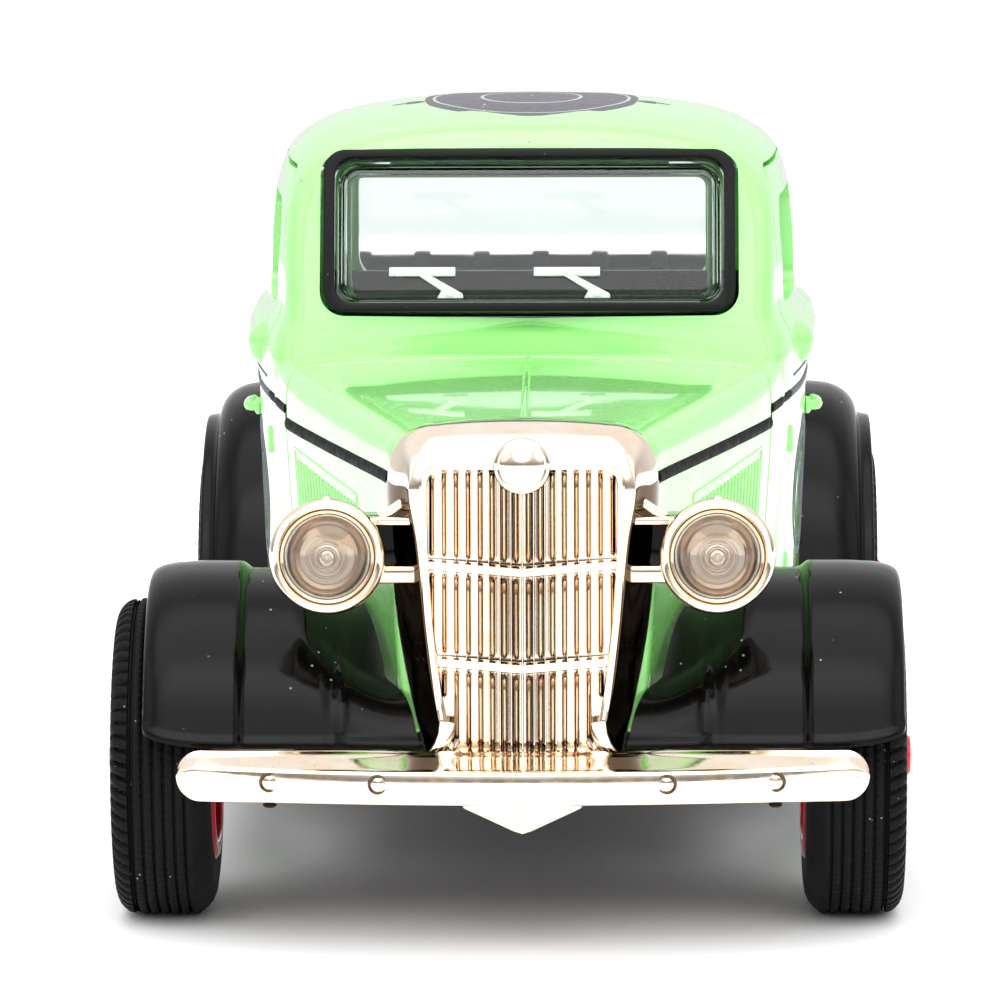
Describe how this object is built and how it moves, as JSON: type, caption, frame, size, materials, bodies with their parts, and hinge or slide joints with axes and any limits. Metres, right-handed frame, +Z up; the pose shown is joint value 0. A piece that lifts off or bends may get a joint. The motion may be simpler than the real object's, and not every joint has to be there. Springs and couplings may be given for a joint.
{
  "type": "diecast collector car",
  "caption": "Small diecast pickup truck with a rounded cab, upright barred grille, round headlamps, sweeping fenders, opening doors, an open cargo bed and free-rolling wheels.",
  "frame": {"origin": "on the ground under the middle of the overall length and width", "axes": "+Z up, -Y towards the nose, +X towards the vehicle's own left"},
  "size_m": [0.0528, 0.129, 0.0495],
  "materials": {
    "green_enamel": "gloss enamel on zinc casting",
    "rose_plating": "bright plating with a warm rose tint",
    "black_gloss": "high gloss black",
    "black_satin": "satin black",
    "black_trim": "semi gloss black",
    "tyre_rubber": "matt moulded rubber",
    "red_plastic": "gloss red",
    "steel": "zinc plated steel",
    "clear_plastic": "clear moulded plastic"
  },
  "bodies": {
    "body": {"body_shell": "green_enamel", "bed_shell": "green_enamel", "windscreen_frame": "black_trim", "window_insert": "clear_plastic", "lamp_lens_left": "clear_plastic", "lamp_lens_right": "clear_plastic", "grille_shell": "rose_plating", "front_bumper": "rose_plating", "rear_bumper": "rose_plating", "fender_left": "black_gloss", "fender_right": "black_gloss", "chassis_plate": "black_satin", "interior_tub": "black_satin", "steering_wheel": "black_satin", "bed_liner": "black_satin", "screw_front": "steel", "screw_rear": "steel"},
    "door_left": {"door_left": "green_enamel"},
    "door_right": {"door_right": "green_enamel"},
    "front_wheels": {"axle_front": "steel", "hub_front_left": "red_plastic", "tyre_front_left": "tyre_rubber", "hub_front_right": "red_plastic", "tyre_front_right": "tyre_rubber"},
    "rear_wheels": {"axle_rear": "steel", "hub_rear_left": "red_plastic", "tyre_rear_left": "tyre_rubber", "hub_rear_right": "red_plastic", "tyre_rear_right": "tyre_rubber"}
  },
  "joints": [
    {"name": "door_left_hinge", "type": "hinge", "parent": "body", "child": "door_left", "pos_m": [0.01775, -0.01505, 0.03], "axis": [0, 0, -1], "range_deg": [0, 65]},
    {"name": "door_right_hinge", "type": "hinge", "parent": "body", "child": "door_right", "pos_m": [-0.01775, -0.01505, 0.03], "axis": [0, 0, 1], "range_deg": [0, 65]},
    {"name": "front_axle_spin", "type": "hinge", "parent": "body", "child": "front_wheels", "pos_m": [0, -0.0465, 0.0102], "axis": [1, 0, 0], "continuous": true},
    {"name": "rear_axle_spin", "type": "hinge", "parent": "body", "child": "rear_wheels", "pos_m": [0, 0.0365, 0.0102], "axis": [1, 0, 0], "continuous": true}
  ]
}
